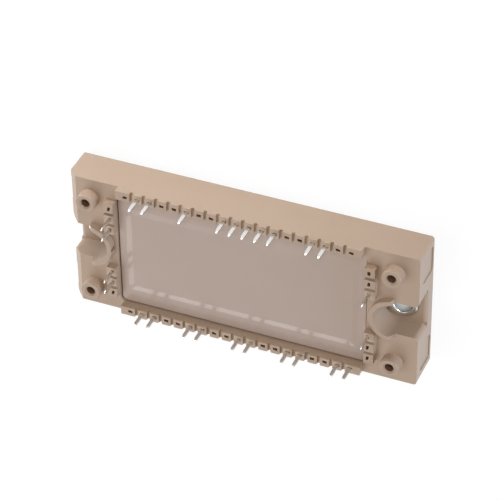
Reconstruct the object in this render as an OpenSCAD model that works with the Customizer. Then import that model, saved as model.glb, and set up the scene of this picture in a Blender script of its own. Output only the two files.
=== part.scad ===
// Power semiconductor module: a rectifier bridge, a brake chopper and a three-phase inverter
// in one flat housing on a copper baseplate, with flat terminals that solder into a board.
// Millimetres. +Z is up and +X runs along the length. The origin is the middle of the
// mounting plane, which is the underside of the baseplate.

/* [Housing] */
// Length of the housing
body_l = 107.5; // [106:0.5:112]
// Width of the housing
body_w = 45; // [44:0.5:48]
// Radius of the upright corners
corner_r = 1; // [0.4:0.1:1.1]
// Height of the skirt's lower edge above the mounting plane
skirt_z = 2.1; // [1.2:0.1:2.4]
// Wall of the skirt that laps the baseplate
skirt_t = 1.7; // [1:0.1:2]
// Height of the flat ends
plateau_z = 13.6; // [13.2:0.1:14.2]
// Run of the bevel along the top of the keyed end
bevel_run = 3; // [1:0.5:4]
// Drop of the bevel along the top of the keyed end
bevel_drop = 3.3; // [1:0.1:3.5]
// Length of the end wall pockets, across the module
pocket_l = 8.5; // [5:0.5:9]
// Height of the end wall pockets
pocket_h = 7.7; // [5:0.1:8]
// Height of the pockets' lower edge above the mounting plane
pocket_z = 3; // [2.8:0.1:3.5]
// From a long wall to the nearest pocket
pocket_inset = 2.5; // [1.5:0.1:3]
// Depth of the end wall pockets
pocket_d = 0.3; // [0.1:0.1:0.8]
// Wall left around the hollows under the flat ends
core_wall = 2.8; // [2.6:0.1:3.2]
// Top of the hollows under the flat ends
core_z = 8.5; // [6:0.1:9]

/* [Terminal frame] */
// Pitch of the terminal slots
pitch = 3.81; // [3.6:0.01:3.9]
// Slots in each long row
row_slots = 19; // [15:2:19]
// From a long wall to the centre line of its row of slots
row_inset = 1.63; // [1.5:0.01:2.2]
// From an end face to the centre line of its columns of slots
col_inset = 14.15; // [13.7:0.05:14.2]
// Least distance from the last slot of a row to the centre line of a column
corner_clear = 5.2; // [4.6:0.1:5.3]
// Height of the slotted blocks
block_z = 15.8; // [15.2:0.1:16.4]
// Width of the grooves between blocks
groove_w = 0.9; // [0.6:0.1:1.2]
// Depth of the grooves between blocks
groove_d = 1.05; // [0.7:0.05:1.4]
// Radius where a groove opens through the outer wall
flare_r = 0.45; // [0.2:0.05:0.6]
// Extra length of the end blocks of a row
row_extra = 1.65; // [0.5:0.05:2]
// Extra length of the end blocks of a column
col_extra = 0.35; // [0:0.05:0.6]
// From the slots' centre line to the inner face of the frame
rail_in = 1.3; // [1.1:0.1:1.5]
// From the slots' centre line to the outer face of a column
col_out = 1.8; // [1.4:0.1:2.2]
// Length of a slot, along its row
slot_w = 1.3; // [1.2:0.05:1.5]
// Width of a slot, across its row
slot_t = 0.8; // [0.75:0.05:1]

/* [Terminals] */
// Width of a terminal, along its row
pin_w = 1.1; // [0.8:0.05:1.15]
// Thickness of a terminal
pin_t = 0.64; // [0.4:0.02:0.7]
// Height of the terminal tips
tip_z = 21.2; // [19:0.1:24]
// Length of the tapered tip
tip_h = 1.2; // [0.4:0.1:1.5]
// Share of the width that is left at the tip
tip_share = 0.4; // [0.3:0.05:0.8]
// Width of the bonding foot
foot_w = 2.2; // [1.4:0.1:2.4]
// Height of the ledge that carries the bonding feet
foot_z = 5.2; // [4.9:0.1:6]
// Play of a foot in its window
foot_play = 0.1; // [0.05:0.05:0.2]

/* [Screw bosses] */
// From an end face to a boss's axis
boss_inset_x = 7.25; // [6:0.25:8]
// From a long wall to a boss's axis
boss_inset_y = 6.5; // [6:0.25:7.5]
// Height of the boss tops, where the circuit board rests
boss_z = 17; // [16.5:0.1:19]
// Diameter of a boss at its top
boss_d = 5.7; // [5:0.1:6]
// Diameter of a boss at its foot
boss_foot_d = 6; // [5.6:0.1:6.4]
// Diameter of the blind hole for a thread-forming screw
boss_hole_d = 2.6; // [2:0.05:3]
// Depth of the blind hole
boss_hole_h = 6.5; // [4:0.5:7]
// Width of the lead-in around the blind hole
boss_lead = 0.5; // [0.2:0.05:0.7]

/* [Mounting ends] */
// From an end face to its mounting hole's axis
hole_inset = 7.25; // [7:0.05:7.5]
// Diameter of the mounting holes
hole_d = 5.5; // [4.5:0.1:6.5]
// Outer diameter of the mounting bushes
bush_d = 9.3; // [8.4:0.1:9.6]
// Height of the bush tops above the mounting plane
bush_z = 7; // [6.6:0.1:8]
// Running fit between bush and housing
bush_fit = 0.05; // [0.02:0.01:0.1]
// Height of the notch floors
notch_z = 6.2; // [5.4:0.1:6.5]
// Radius of the notch around a mounting hole, and its half width from there to the end wall
notch_r = 5.55; // [5.3:0.05:5.8]
// Radius that rounds the upright edges of a notch's mouth
mouth_r = 1.5; // [0.5:0.1:2]
// Radius that rounds the outer edge of a notch floor
floor_r = 1.3; // [0.3:0.1:1.5]
// Thickness of the curved wall around a notch
cwall_t = 1.45; // [1:0.05:1.5]
// Height of the curved wall's top
cwall_z = 15.9; // [15.4:0.1:16.5]
// Radius that rounds off the top of the curved wall's ends
cwall_round = 1.8; // [0.5:0.1:1.8]
// From a bush to the adhesive
glue_clear = 1.2; // [0.8:0.1:1.6]

/* [Lid] */
// Height of the lid's top face
lid_z = 12.8; // [12.2:0.1:13]
// Thickness of the lid
lid_t = 1.5; // [1.2:0.1:2]
// Gap between lid and frame
lid_gap = 0.4; // [0.2:0.05:0.6]
// Radius of the lid's corners
lid_r = 1.3; // [0.8:0.1:2.5]
// Length of the raised label panel, left bare
panel_l = 71.5; // [50:0.5:72]
// Width of the raised label panel, left bare
panel_w = 29.6; // [15:0.2:31]
// Height of the label panel above the lid's rim
panel_h = 0.2; // [0.1:0.05:0.3]

/* [Cavity] */
// Step that carries the lid's edge, from the slots' centre line
ledge_in = 2.6; // [2.4:0.1:2.8]
// Reach of the foot ledge into the cavity
foot_ledge = 1.6; // [1.4:0.1:1.8]
// Height of the silicone gel's surface
gel_z = 9.2; // [8.6:0.1:10]

/* [Power circuit] */
// Thickness of the baseplate
base_t = 3; // [2.8:0.1:3.2]
// Gap between the baseplate's edge and the skirt
base_gap = 0.15; // [0.1:0.05:0.3]
// Thickness of the adhesive between housing and baseplate
glue_t = 0.15; // [0.1:0.05:0.2]
// Clearance between a substrate and the foot ledge
sub_clear = 0.7; // [0.5:0.1:1]
// Gap between the two substrates
sub_gap = 1.2; // [0.8:0.1:2]
// Thickness of the solder under a substrate
solder_t = 0.15; // [0.1:0.01:0.2]
// Thickness of each copper layer
copper_t = 0.3; // [0.2:0.05:0.35]
// Thickness of the ceramic
ceramic_t = 0.63; // [0.38:0.01:0.65]
// Bare rim of ceramic around the copper
copper_rim = 0.7; // [0.4:0.1:0.9]
// Gap between copper tracks
track_gap = 1; // [0.6:0.1:1.2]
// Width of the tracks that take the row wires
track_w = 2; // [1.8:0.1:2.2]
// Share of the free length of a chip island that a transistor takes
igbt_share = 0.59; // [0.5:0.01:0.62]
// Thickness of the chips
chip_t = 0.2; // [0.12:0.01:0.3]
// Gap between two chips and from a chip to its track's edge
chip_gap = 0.45; // [0.3:0.05:0.5]
// Diameter of the bond wires
wire_d = 0.3; // [0.2:0.05:0.4]
// Space between a bond wire and the edge of what it bonds to
wire_edge = 0.3; // [0.2:0.05:0.35]

/* [Hidden] */
$fn = 64;
eps = 0.01;
over = 1;

SIDES = ["left", "right"];
CHIPS = [1:7];
TRACK_COUNT = 3;
TRACKS = [0:TRACK_COUNT - 1];
// Places in a column, of which each end group has a slot and the middle has none
COL_SLOTS = 9;
GROUP_SLOTS = 3;

row_mid = (row_slots + 1) / 2;
col_mid = (COL_SLOTS + 1) / 2;
row_y = body_w / 2 - row_inset;
col_x = body_l / 2 - col_inset;
hole_x = body_l / 2 - hole_inset;
row_reach = min(row_mid - 1, floor((col_x - corner_clear) / pitch));
block_w = pitch - groove_w;
row_end = row_reach * pitch + block_w / 2 + row_extra;
col_in_y = (col_mid - GROUP_SLOTS) * pitch - block_w / 2;
col_end_y = (col_mid - 1) * pitch + block_w / 2 + col_extra;

// Slots that hold a terminal, counted from the keyed end or from the back
function in_row(i) = abs(i - row_mid) <= row_reach;
BACK = [for (i = [2, 3, 6, 9, 10, 11, 12, 13, 16, 17]) if (in_row(i)) i];
FRONT = [for (i = [2, 3, 6, 7, 10, 11, 14, 15, 18, 19]) if (in_row(i)) i];
LEFT = [2, 3, 7, 8];
RIGHT = [3, 7];

rail_z = block_z - groove_d;
bed_z = base_t + glue_t;
base_l = body_l - 2 * (skirt_t + base_gap);
base_w = body_w - 2 * (skirt_t + base_gap);

recess_x = col_x - rail_in;
recess_y = row_y - rail_in;
cavity_x = col_x - ledge_in;
cavity_y = row_y - ledge_in;
well_x = cavity_x - foot_ledge;
well_y = cavity_y - foot_ledge;
lid_under = lid_z - lid_t;

sub_l = well_x - sub_clear - sub_gap / 2;
sub_w = 2 * (well_y - sub_clear);
sub_x = (sub_gap + sub_l) / 2;
back_z = base_t + solder_t;
ceramic_z = back_z + copper_t;
circuit_z = ceramic_z + ceramic_t;
chip_z = circuit_z + copper_t;
col_w = (sub_l - 2 * copper_rim - (TRACK_COUNT - 1) * track_gap) / TRACK_COUNT;
col_step = col_w + track_gap;
track_edge = sub_w / 2 - copper_rim;
island_edge = track_edge - track_w - track_gap;
chip_edge = track_gap / 2 + wire_d + 2 * wire_edge + chip_gap;
chip_room = island_edge - chip_edge - 2 * chip_gap;
igbt_w = igbt_share * chip_room;
chip_y = chip_edge + igbt_w / 2;
diode_w = col_w - igbt_w - 3 * chip_gap;
rectifier_w = chip_room - igbt_w;
rectifier_y = island_edge - chip_gap - rectifier_w / 2;
foot_len = pin_t / 2 + ledge_in + foot_ledge - foot_play;
foot_bond = wire_edge + wire_d / 2 + foot_play;

function slot_x(i) = (i - row_mid) * pitch;
function slot_y(j) = (col_mid - j) * pitch;
function sign_of(side) = side == "left" ? -1 : 1;
function clamp(v, low, high) = max(low, min(high, v));
function track_x(c) = sub_gap / 2 + copper_rim + col_w / 2 + c * col_step;
// Where a wire from a row terminal lands: the nearest point that is well inside a track
function land_x(x) =
    let (side = x < 0 ? -1 : 1,
         c = clamp(round((abs(x) - track_x(0)) / col_step), 0, TRACK_COUNT - 1),
         reach = col_w / 2 - wire_edge - wire_d / 2)
    side * clamp(abs(x), track_x(c) - reach, track_x(c) + reach);

// Chip k of the inverter: three legs, each with an upper and a lower switch; 7 is the brake's
function leg(k) = k > 6 ? 0 : floor((k - 1) / 2);
function half(k) = k % 2 == 1 ? 1 : -1;
function chip_side(k) = k > 6 ? -1 : 1;
function igbt_x(k) = chip_side(k) * track_x(leg(k)) - (col_w - igbt_w) / 2 + chip_gap;
function diode_x(k) = chip_side(k) * track_x(leg(k)) + (col_w - diode_w) / 2 - chip_gap;

module rounded_rect(l, w, r) {
    square([l - 2 * r, w], center = true);
    square([l, w - 2 * r], center = true);
    for (x = [-1, 1], y = [-1, 1])
        translate([x * (l / 2 - r), y * (w / 2 - r)]) circle(r);
}

module slab(l, w, z0, z1, r = 0) {
    translate([0, 0, z0])
        if (r > 0) linear_extrude(z1 - z0) rounded_rect(l, w, r);
        else translate([-l / 2, -w / 2, 0]) cube([l, w, z1 - z0]);
}

module at_bosses() {
    for (x = [-1, 1], y = [-1, 1])
        translate([x * (body_l / 2 - boss_inset_x), y * (body_w / 2 - boss_inset_y), 0]) children();
}

// Draws its child at the +X end and mirrored at the -X end
module both_ends() {
    children();
    mirror([1, 0, 0]) children();
}

// ---- Housing ----

module boss() {
    translate([0, 0, plateau_z - eps])
        cylinder(d1 = boss_foot_d, d2 = boss_d, h = boss_z - plateau_z + eps);
}

module boss_hole() {
    translate([0, 0, boss_z - boss_hole_h]) cylinder(d = boss_hole_d, h = boss_hole_h + over);
    translate([0, 0, boss_z - boss_lead])
        cylinder(d1 = boss_hole_d, d2 = boss_hole_d + 2 * boss_lead, h = boss_lead);
}

// Solid rails of the frame, up to the block tops
module rails() {
    for (side = [-1, 1])
        translate([-row_end, side > 0 ? recess_y : -body_w / 2, plateau_z - eps])
            cube([2 * row_end, body_w / 2 - recess_y, block_z - plateau_z + eps]);
    both_ends()
        for (side = [-1, 1])
            translate([recess_x, side > 0 ? col_in_y : -col_end_y, plateau_z - eps])
                cube([rail_in + col_out, col_end_y - col_in_y, block_z - plateau_z + eps]);
}

// Round-bottomed groove of length len along +Y, from the origin
module groove(len) {
    translate([0, 0, rail_z + groove_w / 2]) {
        translate([-groove_w / 2, 0, 0]) cube([groove_w, len, groove_d + over]);
        rotate([-90, 0, 0]) cylinder(d = groove_w, h = len);
    }
}

// Rounded opening of a groove, at the outer wall that lies on y = 0
module groove_flare() {
    translate([0, 0, rail_z + groove_w / 2])
        linear_extrude(groove_d + over)
            difference() {
                translate([-groove_w / 2 - flare_r, -flare_r])
                    square([groove_w + 2 * flare_r, flare_r + over]);
                for (side = [-1, 1])
                    translate([side * (groove_w / 2 + flare_r), -flare_r]) circle(flare_r);
            }
}

module row_grooves() {
    for (i = [-row_reach:row_reach - 1])
        translate([(i + 1 / 2) * pitch, 0, 0]) {
            translate([0, recess_y - over, 0]) groove(body_w / 2 - recess_y + 2 * over);
            translate([0, body_w / 2, 0]) groove_flare();
        }
}

module column_grooves() {
    for (j = [1:GROUP_SLOTS - 1], side = [-1, 1])
        translate([recess_x - over, side * (slot_y(j) - pitch / 2), 0])
            rotate([0, 0, -90]) groove(rail_in + col_out + 2 * over);
}

module slot(w, t) {
    translate([-w / 2, -t / 2, foot_z]) cube([w, t, block_z - foot_z + over]);
}

module slots() {
    for (i = [-row_reach:row_reach], side = [-1, 1])
        translate([i * pitch, side * row_y, 0]) slot(slot_w, slot_t);
    both_ends()
        for (j = [1:GROUP_SLOTS], side = [-1, 1])
            translate([col_x, side * slot_y(j), 0]) slot(slot_t, slot_w);
}

// Window from a slot into the cavity, for the foot of a terminal that faces -Y
module foot_window() {
    translate([-foot_w / 2 - foot_play, -ledge_in - foot_ledge, foot_z])
        cube([foot_w + 2 * foot_play, ledge_in + foot_ledge + slot_t / 2, pin_t + foot_play]);
}

// Places its child at every terminal, with +Y pointing out of the module
module at_terminals() {
    for (i = BACK) translate([slot_x(i), row_y, 0]) children();
    for (i = FRONT) translate([slot_x(i), -row_y, 0]) rotate([0, 0, 180]) children();
    for (j = LEFT) translate([-col_x, slot_y(j), 0]) rotate([0, 0, 90]) children();
    for (j = RIGHT) translate([col_x, slot_y(j), 0]) rotate([0, 0, -90]) children();
}

// Notch of the +X end: round at the mounting hole, then straight to a mouth with rounded edges
module notch() {
    translate([0, 0, notch_z]) linear_extrude(block_z) {
        translate([hole_x, 0]) circle(notch_r);
        translate([hole_x, -notch_r]) square([hole_inset + over, 2 * notch_r]);
        difference() {
            translate([body_l / 2 - mouth_r, -notch_r - mouth_r])
                square([mouth_r + over, 2 * (notch_r + mouth_r)]);
            for (side = [-1, 1])
                translate([body_l / 2 - mouth_r, side * (notch_r + mouth_r)]) circle(mouth_r);
        }
    }
}

// Space outside the rounded outer edge of the notch floor
module floor_edge() {
    translate([body_l / 2 - floor_r, notch_r, notch_z - floor_r])
        rotate([90, 0, 0]) linear_extrude(2 * notch_r)
            difference() {
                square([floor_r + over, floor_r + over]);
                circle(floor_r);
            }
}

// Side view of the curved wall, from the mounting hole's axis inward
module curved_wall_side() {
    reach = notch_r + cwall_t + over;
    translate([-reach, notch_z - eps]) square([reach, cwall_z - cwall_round - notch_z + eps]);
    translate([-reach, notch_z - eps]) square([reach - cwall_round, cwall_z - notch_z + eps]);
    translate([-cwall_round, cwall_z - cwall_round]) circle(cwall_round);
}

module curved_wall() {
    reach = notch_r + cwall_t;
    translate([hole_x, 0, 0])
        intersection() {
            translate([0, 0, notch_z - eps])
                difference() {
                    cylinder(r = reach, h = block_z);
                    translate([0, 0, -over]) cylinder(r = notch_r, h = block_z + 2 * over);
                }
            translate([0, reach + over, 0])
                rotate([90, 0, 0]) linear_extrude(2 * (reach + over)) curved_wall_side();
        }
}

// Shallow sunk fields of the end walls, one on either side of the mouth
module end_pockets() {
    mid_y = body_w / 2 - pocket_inset - pocket_l / 2;
    for (side = [-1, 1])
        translate([body_l / 2 - pocket_d, side * mid_y, pocket_z + pocket_h / 2])
            rotate([90, 0, 90]) linear_extrude(pocket_d + over) rounded_rect(pocket_l, pocket_h, corner_r);
}

// Hollows under the flat ends, closed by the baseplate
module cores() {
    x0 = col_x + col_out + core_wall;
    x1 = body_l / 2 - pocket_d - core_wall;
    y0 = notch_r + core_wall;
    y1 = body_w / 2 - core_wall;
    for (side = [-1, 1])
        translate([x0, side > 0 ? y0 : -y1, 0]) cube([x1 - x0, y1 - y0, core_z]);
}

module cavity() {
    translate([0, 0, -over]) slab(2 * well_x, 2 * well_y, 0, foot_z + over + eps);
    slab(2 * cavity_x, 2 * cavity_y, foot_z, lid_under + eps);
    slab(2 * recess_x, 2 * recess_y, lid_under, block_z + over, lid_r + lid_gap);
}

module bevel() {
    translate([-body_l / 2, body_w / 2 + over, 0]) rotate([90, 0, 0])
        linear_extrude(body_w + 2 * over) polygon([
            [-over, plateau_z - bevel_drop], [0, plateau_z - bevel_drop],
            [bevel_run, plateau_z], [bevel_run, block_z], [-over, block_z]]);
}

module housing() {
    color("#b9a48f") difference() {
        union() {
            difference() {
                union() {
                    slab(body_l, body_w, skirt_z, plateau_z, corner_r);
                    rails();
                    at_bosses() boss();
                }
                both_ends() notch();
            }
            both_ends() curved_wall();
        }
        slab(base_l + 2 * base_gap, base_w + 2 * base_gap, 0, bed_z, corner_r);
        cavity();
        both_ends() cores();
        both_ends() end_pockets();
        both_ends() floor_edge();
        bevel();
        at_bosses() boss_hole();
        both_ends() translate([hole_x, 0, 0]) cylinder(d = bush_d + 2 * bush_fit, h = notch_z + over);
        row_grooves();
        mirror([0, 1, 0]) row_grooves();
        both_ends() column_grooves();
        slots();
        at_terminals() foot_window();
    }
}

// ---- Lid, baseplate and what joins them ----

module lid() {
    color("#a89a8c") {
        slab(2 * (recess_x - lid_gap), 2 * (recess_y - lid_gap), lid_under, lid_z, lid_r);
        slab(panel_l, panel_w, lid_z - eps, lid_z + panel_h, lid_r);
    }
}

module baseplate() {
    color("#b8bab8") difference() {
        slab(base_l, base_w, 0, base_t, corner_r);
        both_ends() translate([hole_x, 0, -over]) cylinder(d = hole_d, h = base_t + 2 * over);
    }
}

module adhesive_bead() {
    color("#3c3a38") difference() {
        slab(base_l - 2 * base_gap, base_w - 2 * base_gap, base_t, bed_z, corner_r);
        slab(2 * well_x, 2 * well_y, 0, bed_z + over);
        both_ends() cores();
        both_ends() translate([hole_x, 0, 0]) cylinder(d = bush_d + 2 * glue_clear, h = bed_z + over);
    }
}

module bush(side) {
    color("#c9cbc8") translate([sign_of(side) * hole_x, 0, base_t]) difference() {
        cylinder(d = bush_d, h = bush_z - base_t);
        translate([0, 0, -over]) cylinder(d = hole_d, h = bush_z - base_t + 2 * over);
    }
}

// ---- Terminals ----

// Flat pin with a bonding foot toward -Y, its axis on the origin
module terminal() {
    tip = tip_share * pin_w / 2;
    tip_thick = tip_share * pin_t / 2;
    color("#d4d4d0") {
        intersection() {
            translate([0, pin_w, 0]) rotate([90, 0, 0]) linear_extrude(2 * pin_w) polygon([
                [-pin_w / 2, foot_z], [pin_w / 2, foot_z], [pin_w / 2, tip_z - tip_h],
                [tip, tip_z], [-tip, tip_z], [-pin_w / 2, tip_z - tip_h]]);
            translate([-pin_w, 0, 0]) rotate([90, 0, 90]) linear_extrude(2 * pin_w) polygon([
                [-pin_t / 2, foot_z], [pin_t / 2, foot_z], [pin_t / 2, tip_z - tip_h],
                [tip_thick, tip_z], [-tip_thick, tip_z], [-pin_t / 2, tip_z - tip_h]]);
        }
        translate([-foot_w / 2, pin_t / 2 - foot_len, foot_z]) cube([foot_w, foot_len - pin_t / 2, pin_t]);
        translate([-pin_w / 2, -pin_t / 2, foot_z]) cube([pin_w, pin_t, pin_t]);
    }
}

module terminal_back(i) { translate([slot_x(i), row_y, 0]) terminal(); }
module terminal_front(i) { translate([slot_x(i), -row_y, 0]) rotate([0, 0, 180]) terminal(); }
module terminal_left(j) { translate([-col_x, slot_y(j), 0]) rotate([0, 0, 90]) terminal(); }
module terminal_right(j) { translate([col_x, slot_y(j), 0]) rotate([0, 0, -90]) terminal(); }

// ---- Substrates and chips ----

module substrate_layer(side, rim, z, t) {
    translate([sign_of(side) * sub_x, 0, 0]) slab(sub_l - 2 * rim, sub_w - 2 * rim, z, z + t);
}

module solder(side) { color("#9fa3a6") substrate_layer(side, copper_rim, base_t, solder_t); }
module back_copper(side) { color("#c07a4a") substrate_layer(side, copper_rim, back_z, copper_t); }
module ceramic(side) { color("#f2f1ea") substrate_layer(side, 0, ceramic_z, ceramic_t); }

// Three columns of tracks, each with two wire tracks and two chip islands
module circuit_copper(side) {
    color("#c98554")
        for (c = TRACKS, y = [-1, 1])
            translate([sign_of(side) * track_x(c), 0, 0]) {
                island = island_edge - track_gap / 2;
                translate([0, y * (track_gap + island) / 2, 0]) slab(col_w, island, circuit_z, chip_z);
                translate([0, y * (track_edge - track_w / 2), 0]) slab(col_w, track_w, circuit_z, chip_z);
            }
}

module chip(x, y, w, l) {
    color("#5d6468") translate([x, y, 0]) slab(w, l, chip_z, chip_z + chip_t);
}

module igbt_chip(k) { chip(igbt_x(k), half(k) * chip_y, igbt_w, igbt_w); }
module freewheel_diode(k) { chip(diode_x(k), half(k) * chip_y, diode_w, igbt_w); }

module rectifier_diodes() {
    for (c = TRACKS, y = [-1, 1]) chip(-track_x(c), y * rectifier_y, rectifier_w, rectifier_w);
}

module thermistor() {
    color("#3f6d4a") translate([-track_x(TRACK_COUNT - 1), -chip_y, 0])
        slab(wire_edge * 10, wire_edge * 6, chip_z, chip_z + 4 * chip_t);
}

// ---- Bond wires and gel ----

// Horizontal distance between the ends of a wire
function wire_run(a, b) = norm([b[0] - a[0], b[1] - a[1]]);

// Places its child above the middle of a wire from a to b, with +X pointing toward b
module at_wire(a, b) {
    translate([(a[0] + b[0]) / 2, (a[1] + b[1]) / 2, a[2]])
        rotate([0, 0, atan2(b[1] - a[1], b[0] - a[0])]) children();
}

// Loop from point a down to point b, each [x, y, z], with a straight leg at the lower end
module wire(a, b) {
    at_wire(a, b) {
        rotate([90, 0, 0]) rotate_extrude(angle = 180) translate([wire_run(a, b) / 2, 0]) circle(d = wire_d);
        translate([wire_run(a, b) / 2, 0, b[2] - a[2]]) cylinder(d = wire_d, h = a[2] - b[2]);
    }
}

// Space around a wire that the gel leaves free
module wire_space(a, b) {
    reach = wire_run(a, b) / 2 + wire_d;
    at_wire(a, b) {
        rotate([90, 0, 0]) cylinder(r = reach, h = 2 * wire_d, center = true);
        translate([-reach, -wire_d, b[2] - a[2]]) cube([2 * reach, 2 * wire_d, a[2] - b[2]]);
    }
}

// Calls its two versions for every wire: the wire itself or its free space
module each_wire(space) {
    foot_top = foot_z + pin_t;
    row_bond = well_y + foot_bond;
    col_bond = well_x + foot_bond;
    land_y = track_edge - wire_edge - wire_d / 2;
    land_col = track_x(TRACK_COUNT - 1) + col_w / 2 - wire_edge - wire_d / 2;
    for (i = BACK) one_wire([slot_x(i), row_bond, foot_top], [land_x(slot_x(i)), land_y, chip_z], space);
    for (i = FRONT) one_wire([slot_x(i), -row_bond, foot_top], [land_x(slot_x(i)), -land_y, chip_z], space);
    for (j = LEFT) one_wire([-col_bond, slot_y(j), foot_top], [-land_col, slot_y(j), chip_z], space);
    for (j = RIGHT) one_wire([col_bond, slot_y(j), foot_top], [land_col, slot_y(j), chip_z], space);
    for (k = CHIPS, spread = [-1, 1]) {
        inner = chip_y - igbt_w / 2 + wire_edge + wire_d / 2;
        land = track_gap / 2 + wire_edge + wire_d / 2;
        shift = half(k) * wire_d;
        top = chip_z + chip_t;
        for (place = [[igbt_x(k), igbt_w / 4], [diode_x(k), diode_w / 4]]) {
            x = place[0] + spread * place[1] + shift;
            one_wire([x, half(k) * inner, top], [x, -half(k) * land, chip_z], space);
        }
    }
    for (c = TRACKS, y = [-1, 1], spread = [-1, 1]) {
        x = -track_x(c) + spread * rectifier_w / 4;
        edge = rectifier_y + rectifier_w / 2 - wire_edge - wire_d / 2;
        land = track_edge - track_w + wire_edge + wire_d / 2;
        one_wire([x, y * edge, chip_z + chip_t], [x, y * land, chip_z], space);
    }
}

module one_wire(a, b, space) {
    if (space) wire_space(a, b);
    else wire(a, b);
}

module bond_wires() { color("#d9dadc") each_wire(false); }

module silicone_gel() {
    color("#dfe6e8") difference() {
        union() {
            slab(2 * well_x, 2 * well_y, base_t, foot_z + eps);
            slab(2 * cavity_x, 2 * cavity_y, foot_z, gel_z);
        }
        for (side = SIDES) {
            substrate_layer(side, copper_rim, base_t, ceramic_z - base_t);
            substrate_layer(side, 0, ceramic_z, ceramic_t);
            circuit_copper(side);
        }
        for (k = CHIPS) {
            igbt_chip(k);
            freewheel_diode(k);
        }
        rectifier_diodes();
        thermistor();
        at_terminals()
            translate([-foot_w / 2, -ledge_in - foot_ledge, foot_z])
                cube([foot_w, ledge_in + foot_ledge, pin_t]);
        each_wire(true);
    }
}

// ---- Nodes ----

housing();
lid();
baseplate();
adhesive_bead();
silicone_gel();
bond_wires();
rectifier_diodes();
thermistor();
for (side = SIDES) {
    bush(side);
    solder(side);
    back_copper(side);
    ceramic(side);
    circuit_copper(side);
}
for (i = BACK) terminal_back(i);
for (i = FRONT) terminal_front(i);
for (j = LEFT) terminal_left(j);
for (j = RIGHT) terminal_right(j);
for (k = CHIPS) {
    igbt_chip(k);
    freewheel_diode(k);
}
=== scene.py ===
"""Looks of a flat power semiconductor module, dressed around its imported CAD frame.

The module has a moulded housing with a slotted terminal frame, a sunk lid, flat tinned
terminals, four board screw bosses and a plated baseplate with a bushed screw hole at each end.
Lengths in this file are millimetres until they reach a mesh, which is in metres.
"""
import logging
import math
from dataclasses import dataclass, field
from enum import Enum
from typing import Optional

import bmesh
import bpy
from mathutils import Matrix, Vector


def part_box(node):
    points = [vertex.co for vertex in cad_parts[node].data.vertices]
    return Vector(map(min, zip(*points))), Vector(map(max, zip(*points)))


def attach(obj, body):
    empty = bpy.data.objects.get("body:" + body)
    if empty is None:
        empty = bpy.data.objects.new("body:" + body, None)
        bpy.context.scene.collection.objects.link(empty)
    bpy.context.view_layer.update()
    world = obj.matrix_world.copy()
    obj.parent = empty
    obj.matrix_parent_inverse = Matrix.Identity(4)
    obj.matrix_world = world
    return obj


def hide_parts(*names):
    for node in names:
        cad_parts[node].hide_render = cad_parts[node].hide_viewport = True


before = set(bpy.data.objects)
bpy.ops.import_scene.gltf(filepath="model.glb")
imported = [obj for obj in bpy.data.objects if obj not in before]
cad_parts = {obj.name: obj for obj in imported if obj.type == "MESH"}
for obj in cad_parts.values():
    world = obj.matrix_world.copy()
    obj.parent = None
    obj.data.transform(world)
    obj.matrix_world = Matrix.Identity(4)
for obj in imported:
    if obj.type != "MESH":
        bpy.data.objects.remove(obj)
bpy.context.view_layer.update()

log = logging.getLogger("module")

MM = 0.001
BODY = "root"
WHITE = (1.0, 1.0, 1.0, 1.0)


# ---- Small helpers ----

def linear(hex_colour: str) -> tuple[float, float, float, float]:
    """Turn an sRGB colour into the linear one that a shader needs.

    Args:
        hex_colour: Six hex digits after a hash sign.

    Returns:
        Linear red, green and blue, and an alpha of 1.
    """
    channels = [int(hex_colour[i:i + 2], 16) / 255 for i in (1, 3, 5)]
    red, green, blue = (c / 12.92 if c <= 0.04045 else ((c + 0.055) / 1.055) ** 2.4 for c in channels)
    return red, green, blue, 1.0


def add_node(
    tree: bpy.types.NodeTree,
    kind: str,
    settings: Optional[dict] = None,
    links: Optional[dict] = None,
) -> bpy.types.Node:
    """Add a shader node with its settings and the links into it.

    Args:
        tree: The material's node tree.
        kind: Blender's name of the node type.
        settings: Values by name; an input socket's name or index sets that socket, and any
            other name sets the node's own property.
        links: Output sockets by the name or index of the input that they feed.

    Returns:
        The new node.
    """
    node = tree.nodes.new(kind)
    for name, value in (settings or {}).items():
        if isinstance(name, int) or name in node.inputs:
            node.inputs[name].default_value = value
        else:
            setattr(node, name, value)
    for name, socket in (links or {}).items():
        tree.links.new(socket, node.inputs[name])
    return node


def per_mm(size: float) -> float:
    """Scale of a pattern whose feature is so many millimetres wide."""
    return 1 / (size * MM)


# ---- Finishes ----

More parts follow.
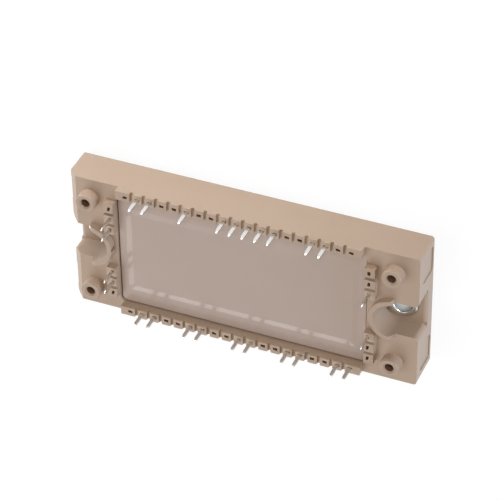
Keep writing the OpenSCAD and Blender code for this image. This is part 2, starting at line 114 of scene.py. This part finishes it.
@dataclass(frozen=True)
class Finish:
    """A surface: its colour, its gloss, and the clouds and grain that its making leaves.

    The clouds mix the colour with its shade. The grain spreads the gloss and lifts the
    surface. Both are noise, drawn out along the direction in which the stretch is small.
    """

    name: str
    colour: str
    shade: str
    roughness: float
    metallic: float = 0.0
    cloud_mm: float = 8.0
    grain_mm: float = 0.3
    gloss_spread: float = 0.05
    relief_mm: float = 0.004
    stretch: tuple[float, float, float] = (1.0, 1.0, 1.0)
    cloud_detail: float = 3.0
    grain_detail: float = 2.0

    def place(self, tree: bpy.types.NodeTree) -> bpy.types.NodeSocket:
        """Add the coordinates that the patterns read.

        Args:
            tree: The material's node tree.

        Returns:
            Object coordinates, drawn out by the finish's stretch.
        """
        own = add_node(tree, "ShaderNodeTexCoord").outputs["Object"]
        return add_node(tree, "ShaderNodeMapping", {"Scale": self.stretch}, {"Vector": own}).outputs[0]

    def clouds(self, tree: bpy.types.NodeTree, place: bpy.types.NodeSocket) -> bpy.types.NodeSocket:
        """Add the pattern that mixes colour and shade.

        Args:
            tree: The material's node tree.
            place: The coordinates to read.

        Returns:
            The pattern, from 0 for the shade to 1 for the colour.
        """
        noise = add_node(
            tree, "ShaderNodeTexNoise", {"Scale": per_mm(self.cloud_mm), "Detail": self.cloud_detail},
            {"Vector": place})
        return noise.outputs[0]

    def grain(self, tree: bpy.types.NodeTree, place: bpy.types.NodeSocket) -> bpy.types.NodeSocket:
        """Add the pattern that spreads the gloss and lifts the surface.

        Args:
            tree: The material's node tree.
            place: The coordinates to read.

        Returns:
            The pattern, from 0 to 1.
        """
        noise = add_node(
            tree, "ShaderNodeTexNoise", {"Scale": per_mm(self.grain_mm), "Detail": self.grain_detail},
            {"Vector": place})
        return noise.outputs[0]

    def material(self) -> bpy.types.Material:
        """Make the material, once.

        Returns:
            The material with this finish's name.
        """
        found = bpy.data.materials.get(self.name)
        if found:
            return found
        material = bpy.data.materials.new(self.name)
        material.use_nodes = True
        tree = material.node_tree
        tree.nodes.clear()
        place = self.place(tree)
        grain = self.grain(tree, place)
        # Sockets 6, 7 and 2 are the Mix node's two colours and its colour result
        colour = add_node(
            tree, "ShaderNodeMix", {"data_type": "RGBA", 6: linear(self.shade), 7: linear(self.colour)},
            {0: self.clouds(tree, place)})
        gloss = add_node(tree, "ShaderNodeMapRange", {
            "To Min": self.roughness - self.gloss_spread,
            "To Max": self.roughness + self.gloss_spread}, {0: grain})
        relief = add_node(
            tree, "ShaderNodeBump", {"Strength": 1.0, "Distance": self.relief_mm * MM}, {"Height": grain})
        shader = add_node(tree, "ShaderNodeBsdfPrincipled", {"Metallic": self.metallic}, {
            "Base Color": colour.outputs[2], "Roughness": gloss.outputs[0], "Normal": relief.outputs[0]})
        add_node(tree, "ShaderNodeOutputMaterial", links={"Surface": shader.outputs[0]})
        return material


@dataclass(frozen=True)
class TurnedFinish(Finish):
    """Metal turned on a lathe: rings around the part's axis show in its gloss.

    The rings are drawn further apart than real tool marks, so that they show. At scale 1 the
    Wave texture turns by 20 radians in a unit of length, and a ring is one full turn.
    """

    axis_mm: tuple[float, float, float] = (0.0, 0.0, 0.0)
    ring_mm: float = 0.7854
    waver: float = 0.4
    wave_turn: float = 20.0

    def grain(self, tree: bpy.types.NodeTree, place: bpy.types.NodeSocket) -> bpy.types.NodeSocket:
        """Add tool rings around the axis.

        Args:
            tree: The material's node tree.
            place: The coordinates to read.

        Returns:
            The rings, from 0 to 1.
        """
        centred = add_node(tree, "ShaderNodeMapping", {
            "Location": [-c * MM for c in self.axis_mm]}, {"Vector": place})
        rings = add_node(tree, "ShaderNodeTexWave", {
            "wave_type": "RINGS", "rings_direction": "Z",
            "Scale": per_mm(self.ring_mm) * math.tau / self.wave_turn,
            "Distortion": self.waver}, {"Vector": centred.outputs[0]})
        return rings.outputs[1]


class Make(Enum):
    """The finishes of the module, each named for its material and how it was made, and for the shade or sheen
    that is painted into some of them.
    """

    # Glass-filled polyester: tan, with faint flow clouds and an even grain from the mould,
    # drawn coarser than a real one so that it shows
    HOUSING = Finish("moulded_polyester", "#b9a28b", "#b39b83", 0.42, cloud_mm=18, grain_mm=0.5,
                     relief_mm=0.012)
    # The same plastic inside narrow bores and slots, rough from the core pins; its darker colour is painted
    # shade for the dark deep inside them
    BORE_PAINTED_SHADE = Finish("moulded_polyester_bore_painted_shade", "#96745f", "#6e5343", 0.7, cloud_mm=1.5, grain_mm=0.3,
                  relief_mm=0.012)
    # The same plastic from a polished mould: smoother, so that it mirrors the terminals faintly. Its colour
    # is drawn lighter than the housing's as painted sheen, in place of the reflection of a brighter lamp
    LID = Finish("moulded_polyester_polished_painted_sheen", "#c3b1a3", "#bdaa9b", 0.16, cloud_mm=22, grain_mm=1.2,
                 gloss_spread=0.03, relief_mm=0.001)
    # Stamped copper with a dull tin coat: white-grey and soft, with streaks along the strip
    TERMINAL = Finish("tinned_stamped_copper", "#ededea", "#d8d8d4", 0.28, 1.0, cloud_mm=1.2,
                      grain_mm=0.12, gloss_spread=0.08, relief_mm=0.002, stretch=(1.0, 1.0, 0.25))
    # Rolled copper with a satin nickel plate: fine lines along the length
    BASEPLATE = Finish("nickel_plated_rolled_copper", "#c2c3bf", "#b2b4b1", 0.32, 1.0, cloud_mm=9,
                       grain_mm=0.3, gloss_spread=0.08, relief_mm=0.002, stretch=(0.05, 1.0, 1.0))
    # Etched copper, bonded to the ceramic: red-brown with large crystal grains
    COPPER = Finish("bonded_copper", "#c98554", "#b06f43", 0.4, 1.0, cloud_mm=1.5, grain_mm=0.2)
    # Fired alumina: white and matt, with a fine speckle
    CERAMIC = Finish("fired_alumina", "#f2f1ea", "#e6e4da", 0.55, cloud_mm=0.6, grain_mm=0.15)
    # Solder as it froze: grey and rippled
    SOLDER = Finish("reflowed_solder", "#a9adb0", "#8f9396", 0.35, 1.0, cloud_mm=2.5, grain_mm=0.6,
                    relief_mm=0.01)
    # Silicon with an aluminium face: dark, with a faint mottle
    SILICON = Finish("metallised_silicon", "#6b7276", "#4f565a", 0.22, 0.6, cloud_mm=0.5, grain_mm=0.2)
    # Glazed ceramic bead: green and shiny
    THERMISTOR = Finish("glazed_ceramic", "#3f6d4a", "#335c3e", 0.25, cloud_mm=1.0, grain_mm=0.3)
    # Aluminium wire, drawn: bright, with a faint mottle
    WIRE = Finish("drawn_aluminium", "#dcdddf", "#c9cacd", 0.28, 1.0, cloud_mm=1.0, grain_mm=0.1)
    # Silicone gel, poured and cured: pale and wet, nearly even
    GEL = Finish("cured_silicone_gel", "#dfe6e8", "#d3dcdf", 0.1, cloud_mm=12, grain_mm=3.0,
                 gloss_spread=0.03)
    # Silicone adhesive, squeezed to a bead: dark and rubbery
    ADHESIVE = Finish("cured_silicone_adhesive", "#3c3a38", "#2f2d2c", 0.6, cloud_mm=2.0, grain_mm=0.4)


# ---- Pieces from the frame ----

MERGE = 0.001 * MM
FLAT = math.radians(0.5)


def copy_of(node: str) -> bmesh.types.BMesh:
    """Copy a CAD node's mesh, with its loose triangles joined to whole faces.

    Args:
        node: Name of the CAD node.

    Returns:
        The copy, which the caller turns into a piece.
    """
    bm = bmesh.new()
    bm.from_mesh(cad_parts[node].data)
    bmesh.ops.remove_doubles(bm, verts=bm.verts, dist=MERGE)
    bmesh.ops.dissolve_limit(
        bm, angle_limit=FLAT, verts=bm.verts, edges=bm.edges, use_dissolve_boundaries=False)
    return bm


# A rounding stops at a face's corner that is narrower than NARROW, and at one wider than WIDE
# where only one of its edges is rounded. Two rounded edges that meet at more than STRAIGHT run
# on as one line, which is always passed.
NARROW, WIDE, STRAIGHT = math.radians(40), math.radians(140), math.radians(155)
# Elsewhere both edges of the corner are at least ROOM times as long as the rounding reaches
ROOM = 2.3


def roundable(bm: bmesh.types.BMesh, width: float, sharp: float) -> set[bmesh.types.BMEdge]:
    """Find the sharp edges that can be rounded without tearing the faces beside them.

    Args:
        bm: The mesh.
        width: How far the rounding reaches from the edge, in metres.
        sharp: Angle between two faces from which their edge is sharp, in radians.

    Returns:
        The sharp edges whose corners leave room for the rounding.
    """
    chosen = {e for e in bm.edges if e.calc_face_angle(0) > sharp}
    while True:
        dropped = set()
        for face in bm.faces:
            for corner in face.loops:
                pair = (corner.edge, corner.link_loop_prev.edge)
                picked = [e for e in pair if e in chosen]
                angle = corner.calc_angle()
                if not picked or (len(picked) == 2 and angle > STRAIGHT):
                    continue
                crowded = min(e.calc_length() for e in pair) < ROOM * width
                if angle < NARROW or crowded or (len(picked) == 1 and angle > WIDE):
                    dropped.update(picked)
        if not dropped:
            return chosen
        chosen -= dropped


@dataclass
class Piece:
    """A finished mesh that stands for CAD nodes."""

    name: str
    finish: Finish
    slot: str
    nodes: tuple[str, ...]
    second: Optional[Finish] = None
    edge_mm: float = 0.0
    edge_segments: int = 2
    sharp_deg: float = 28.0
    crease_deg: float = 38.0

    def add(self, bm: bmesh.types.BMesh) -> bpy.types.Object:
        """Turn the mesh into a piece of the module, with its edges rounded where there is room.

        Args:
            bm: The finished mesh, which is freed.

        Returns:
            The piece.
        """
        if self.edge_mm:
            edges = roundable(bm, self.edge_mm * MM, math.radians(self.sharp_deg))
            bmesh.ops.bevel(
                bm, geom=list(edges), offset=self.edge_mm * MM, affect="EDGES",
                segments=self.edge_segments, profile=0.5, material=-1, clamp_overlap=False,
                loop_slide=False)
        for face in bm.faces:
            face.smooth = True
        for edge in bm.edges:
            edge.smooth = edge.calc_face_angle(math.pi) < math.radians(self.crease_deg)
        mesh = bpy.data.meshes.new(self.name)
        bm.to_mesh(mesh)
        bm.free()
        for finish in filter(None, (self.finish, self.second)):
            mesh.materials.append(finish.material())
        piece = bpy.data.objects.new(self.name, mesh)
        bpy.context.scene.collection.objects.link(piece)
        piece.modifiers.new("even_faces", "WEIGHTED_NORMAL").keep_sharp = True
        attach(piece, BODY)
        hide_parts(*self.nodes)
        log.info("%s: %d faces, finish %s", self.name, len(mesh.polygons), self.finish.name)
        return piece


def dress(nodes: list[str], make: Make) -> None:
    """Give CAD nodes a finish in every material slot.

    Args:
        nodes: Names of the CAD nodes.
        make: The finish.
    """
    for node in nodes:
        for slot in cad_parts[node].material_slots:
            slot.material = make.value.material()
    log.info("%s: finish %s", ", ".join(nodes), make.value.name)


def nodes_named(start: str) -> list[str]:
    """CAD nodes whose names begin so, in order."""
    return sorted(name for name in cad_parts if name.startswith(start))


@dataclass
class Housing:
    """The moulded housing with its terminal frame, bosses, notches and curved walls."""

    edge_mm: float = 0.16
    boss_mm: tuple[float, float] = (46.5, 16.0)
    bore_r_mm: float = 1.35
    bore_top_mm: float = 16.4
    row_mm: float = 20.87
    column_mm: float = 39.6
    pitch_mm: float = 3.81
    slot_mm: tuple[float, float] = (0.7, 0.45)
    slot_z_mm: tuple[float, float] = (5.5, 15.7)

    def in_slot(self, along: float, across: float) -> bool:
        """Tell whether a point is in a terminal slot of a row or column.

        Args:
            along: Place along the row, from the middle slot, in millimetres.
            across: Distance from the row's line, in millimetres.

        Returns:
            True for a point inside a slot.
        """
        off_slot = abs(along - round(along / self.pitch_mm) * self.pitch_mm)
        return off_slot < self.slot_mm[0] and across < self.slot_mm[1]

    def in_bore(self, face: bmesh.types.BMFace) -> bool:
        """Tell whether a face lines a boss's screw bore or a terminal slot.

        Args:
            face: A face of the housing.

        Returns:
            True for a face inside a bore or slot.
        """
        middle = face.calc_center_median() / MM
        x, y = abs(middle.x), abs(middle.y)
        if math.hypot(x - self.boss_mm[0], y - self.boss_mm[1]) < self.bore_r_mm:
            return middle.z < self.bore_top_mm
        if not self.slot_z_mm[0] < middle.z < self.slot_z_mm[1]:
            return False
        return self.in_slot(x, abs(y - self.row_mm)) or self.in_slot(y, abs(x - self.column_mm))

    def build(self) -> None:
        """Copy the housing, paint shade into its bores and slots, and round the mould edges that have room
        for it.
        """
        bm = copy_of("housing")
        for face in bm.faces:
            # Faces in bores and slots take the painted-shade finish, darker for the shade deep inside them
            face.material_index = int(self.in_bore(face))
        housing = Piece(
            "moulded_housing", Make.HOUSING.value, "housing", ("housing",), Make.BORE_PAINTED_SHADE.value, self.edge_mm)
        housing.add(bm)


@dataclass
class Lid:
    """The lid, with a label panel that rises from its rim on a soft slope.

    The low crease angle keeps the panel's flat top and its slopes apart. Corners within
    level_mm of the highest one belong to the flat top.
    """

    slope_mm: float = 1.8
    crease_deg: float = 5.0
    level_mm: float = 0.01

    def build(self) -> None:
        """Copy the lid and draw the panel's top in, so that its sides slope."""
        top_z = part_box("lid")[1].z
        bm = copy_of("lid")
        top = [v for v in bm.verts if v.co.z > top_z - self.level_mm * MM]
        half_x = max(v.co.x for v in top)
        half_y = max(v.co.y for v in top)
        bmesh.ops.scale(
            bm, verts=top, vec=(1 - self.slope_mm * MM / half_x, 1 - self.slope_mm * MM / half_y, 1))
        lid = Piece("lid_with_panel", Make.LID.value, "lid", ("lid",), crease_deg=self.crease_deg)
        lid.add(bm)


@dataclass
class Terminals:
    """Flat tinned terminals in their four rows."""

    edge_mm: float = 0.07

    def build(self) -> None:
        """Copy every terminal and round its stamped edges."""
        for node in nodes_named("terminal_"):
            name = node.replace("terminal", "pin")
            pin = Piece(name, Make.TERMINAL.value, "terminal", (node,), edge_mm=self.edge_mm)
            pin.add(copy_of(node))


@dataclass
class Bush:
    """A turned metal bush in a mounting hole, with chamfers at its top."""

    node: str
    wall_mm: float = 1.9
    hole_chamfer_mm: float = 0.35
    rim_chamfer_mm: float = 0.45
    edge_mm: float = 0.08
    steps: int = 72

    def finish(self, centre: Vector) -> TurnedFinish:
        """Nickel-plated steel, turned: bright, with rings around the hole."""
        return TurnedFinish(
            f"turned_nickel_plated_steel_{self.node}", "#cdcfcc", "#c0c2bf", 0.22, 1.0, cloud_mm=3,
            gloss_spread=0.06, relief_mm=0.003, axis_mm=tuple(c / MM for c in centre))

    def build(self) -> None:
        """Spin the bush's section around its axis."""
        low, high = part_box(self.node)
        centre = (low + high) / 2
        outer = (high.x - low.x) / 2
        inner = outer - self.wall_mm * MM
        hole, rim = self.hole_chamfer_mm * MM, self.rim_chamfer_mm * MM
        section = [
            (inner, low.z), (outer, low.z), (outer, high.z - rim), (outer - rim, high.z),
            (inner + hole, high.z), (inner, high.z - hole)]
        bm = bmesh.new()
        ring = [bm.verts.new((centre.x + r, centre.y, z)) for r, z in section]
        edges = [bm.edges.new((a, b)) for a, b in zip(ring, ring[1:] + ring[:1])]
        bmesh.ops.spin(
            bm, geom=ring + edges, cent=(centre.x, centre.y, 0), axis=(0, 0, 1), angle=math.tau,
            steps=self.steps, use_merge=True)
        bmesh.ops.remove_doubles(bm, verts=bm.verts, dist=MERGE)
        bmesh.ops.recalc_face_normals(bm, faces=bm.faces)
        name = self.node.replace("bush", "turned_bush")
        bush = Piece(name, self.finish(centre), "bush", (self.node,), edge_mm=self.edge_mm)
        bush.add(bm)


@dataclass
class Baseplate:
    """The plated copper baseplate with its two holes, sharp-edged as the CAD solid is."""

    def build(self) -> None:
        """Copy the baseplate, with its own shape, and plate it."""
        plate = Piece("plated_baseplate", Make.BASEPLATE.value, "baseplate", ("baseplate",))
        plate.add(copy_of("baseplate"))


@dataclass
class PowerCircuit:
    """What the housing seals in: substrates, chips, wires, gel and adhesive."""

    finishes: dict[str, Make] = field(default_factory=lambda: {
        "solder_": Make.SOLDER, "back_copper_": Make.COPPER, "ceramic_": Make.CERAMIC,
        "circuit_copper_": Make.COPPER, "igbt_chip_": Make.SILICON, "freewheel_diode_": Make.SILICON,
        "rectifier_diodes": Make.SILICON, "thermistor": Make.THERMISTOR, "bond_wires": Make.WIRE,
        "silicone_gel": Make.GEL, "adhesive_bead": Make.ADHESIVE})

    def build(self) -> None:
        """Dress the sealed CAD nodes, which keep their own shapes."""
        for start, make in self.finishes.items():
            dress(nodes_named(start), make)


# ---- Studio ----

def plainly_seen(tree: bpy.types.NodeTree) -> bpy.types.NodeSocket:
    """Tell what the camera and reflections see from what only lights the module.

    Args:
        tree: The node tree of the floor or the world.

    Returns:
        1 for a camera ray or a reflection, and 0 for any other ray.
    """
    path = add_node(tree, "ShaderNodeLightPath")
    seen = add_node(tree, "ShaderNodeMath", {"operation": "MAXIMUM"}, {
        0: path.outputs["Is Camera Ray"], 1: path.outputs["Is Glossy Ray"]})
    return seen.outputs[0]


@dataclass
class Lamp:
    """A soft lamp that faces a point on the module."""

    name: str
    place: tuple[float, float, float]
    aim: tuple[float, float, float]
    width: float
    height: float
    power: float
    colour: str

    def build(self) -> None:
        """Hang the lamp, unseen by the camera."""
        data = bpy.data.lights.new(self.name, "AREA")
        data.shape = "RECTANGLE"
        data.size, data.size_y, data.energy = self.width, self.height, self.power
        data.color = linear(self.colour)[:3]
        lamp = bpy.data.objects.new(self.name, data)
        back = Vector(self.place) - Vector(self.aim)
        lamp.matrix_world = Matrix.Translation(self.place) @ back.to_track_quat("Z", "Y").to_matrix().to_4x4()
        lamp.visible_camera = False
        bpy.context.scene.collection.objects.link(lamp)


@dataclass
class Studio:
    """Floor, soft light and the camera.

    The camera's focal length is a share of its sensor's width. Its right and down directions
    are the picture's, in the module's own frame.
    """

    eye_mm: tuple[float, float, float] = (231.023, 463.977, 543.720)
    right: tuple[float, float, float] = (0.922363, -0.012102, -0.386136)
    down: tuple[float, float, float] = (0.229556, -0.786750, 0.573000)
    focal: float = 5.2148
    sensor_mm: float = 36.0
    clip_m: tuple[float, float] = (0.01, 20.0)
    floor_half_m: float = 3.0
    floor_paint: tuple[float, float, float, float] = (0.8, 0.8, 0.8, 1.0)
    white_share: float = 0.82
    glow: float = 1.10
    world_strength: float = 0.26
    world_colour: str = "#ffece0"
    lamps: tuple[Lamp, ...] = (
        Lamp("low_strip", (-0.07, 0.125, 0.007), (-0.07, 0.0, 0.010), 0.26, 0.010, 0.085, "#ffffff"),
        Lamp("left", (-0.35, 0.16, 0.02), (-0.04, 0.02, 0.012), 0.12, 0.030, 0.60, "#d4e4ff"),
        Lamp("right", (1.10, 0.12, 0.12), (0.0, 0.0, 0.0), 0.5, 0.4, 9.0, "#cce0ff"),
        Lamp("front", (0.36, 0.82, 0.80), (0.0, 0.0, 0.0), 0.40, 0.40, 3.1, "#ffffff"),
        Lamp("top", (-0.30, -0.06, 0.50), (0.0, 0.0, 0.0), 0.4, 0.4, 1.10, "#f0f3ff"),
        Lamp("low_front", (-0.40, -1.05, 0.66), (0.0, 0.0, 0.0), 1.2, 0.50, 3.8, "#ffffff"),
    )

    def camera(self) -> None:
        """Set the camera at its place, looking at the module's top."""
        data = bpy.data.cameras.new("camera")
        data.sensor_width = self.sensor_mm
        data.lens = self.focal * self.sensor_mm
        data.clip_start, data.clip_end = self.clip_m
        eye = bpy.data.objects.new("camera", data)
        bpy.context.scene.collection.objects.link(eye)
        right, up = Vector(self.right).normalized(), -Vector(self.down)
        back = right.cross(up).normalized()
        turn = Matrix((right, back.cross(right), back)).transposed().to_4x4()
        eye.matrix_world = Matrix.Translation(Vector(self.eye_mm) * MM) @ turn
        bpy.context.scene.camera = eye

    def floor(self) -> None:
        """Lay a plain white floor, which takes the module's soft shadow."""
        mesh = bpy.data.meshes.new("floor")
        bm = bmesh.new()
        bmesh.ops.create_grid(bm, x_segments=1, y_segments=1, size=self.floor_half_m)
        bm.to_mesh(mesh)
        bm.free()
        floor = bpy.data.objects.new("floor", mesh)
        bpy.context.scene.collection.objects.link(floor)
        material = bpy.data.materials.new("white_floor")
        material.use_nodes = True
        tree = material.node_tree
        tree.nodes.clear()
        paint = add_node(tree, "ShaderNodeBsdfDiffuse", {"Color": self.floor_paint})
        glow = add_node(tree, "ShaderNodeEmission", {"Color": WHITE, "Strength": self.glow})
        share = add_node(
            tree, "ShaderNodeMath", {"operation": "MULTIPLY", 1: self.white_share}, {0: plainly_seen(tree)})
        mix = add_node(
            tree, "ShaderNodeMixShader",
            links={0: share.outputs[0], 1: paint.outputs[0], 2: glow.outputs[0]})
        add_node(tree, "ShaderNodeOutputMaterial", links={"Surface": mix.outputs[0]})
        mesh.materials.append(material)

    def world(self) -> None:
        """Surround everything with an even white, which the camera and reflections see in full."""
        world = bpy.data.worlds.new("studio")
        world.use_nodes = True
        tree = world.node_tree
        tree.nodes.clear()
        fill = add_node(tree, "ShaderNodeBackground", {
            "Color": linear(self.world_colour), "Strength": self.world_strength})
        white = add_node(tree, "ShaderNodeBackground", {"Color": WHITE, "Strength": 1.0})
        mix = add_node(
            tree, "ShaderNodeMixShader",
            links={0: plainly_seen(tree), 1: fill.outputs[0], 2: white.outputs[0]})
        add_node(tree, "ShaderNodeOutputWorld", links={"Surface": mix.outputs[0]})
        bpy.context.scene.world = world

    def build(self) -> None:
        """Set up the camera, the floor and the light."""
        self.camera()
        self.floor()
        self.world()
        for lamp in self.lamps:
            lamp.build()
        bpy.context.scene.view_settings.view_transform = "Standard"


def main() -> None:
    """Build the module's pieces in order, then the studio around them."""
    Baseplate().build()
    PowerCircuit().build()
    Housing().build()
    for node in nodes_named("bush_"):
        Bush(node).build()
    Terminals().build()
    Lid().build()
    Studio().build()


if __name__ == "__main__":
    logging.basicConfig(level=logging.INFO)
    main()
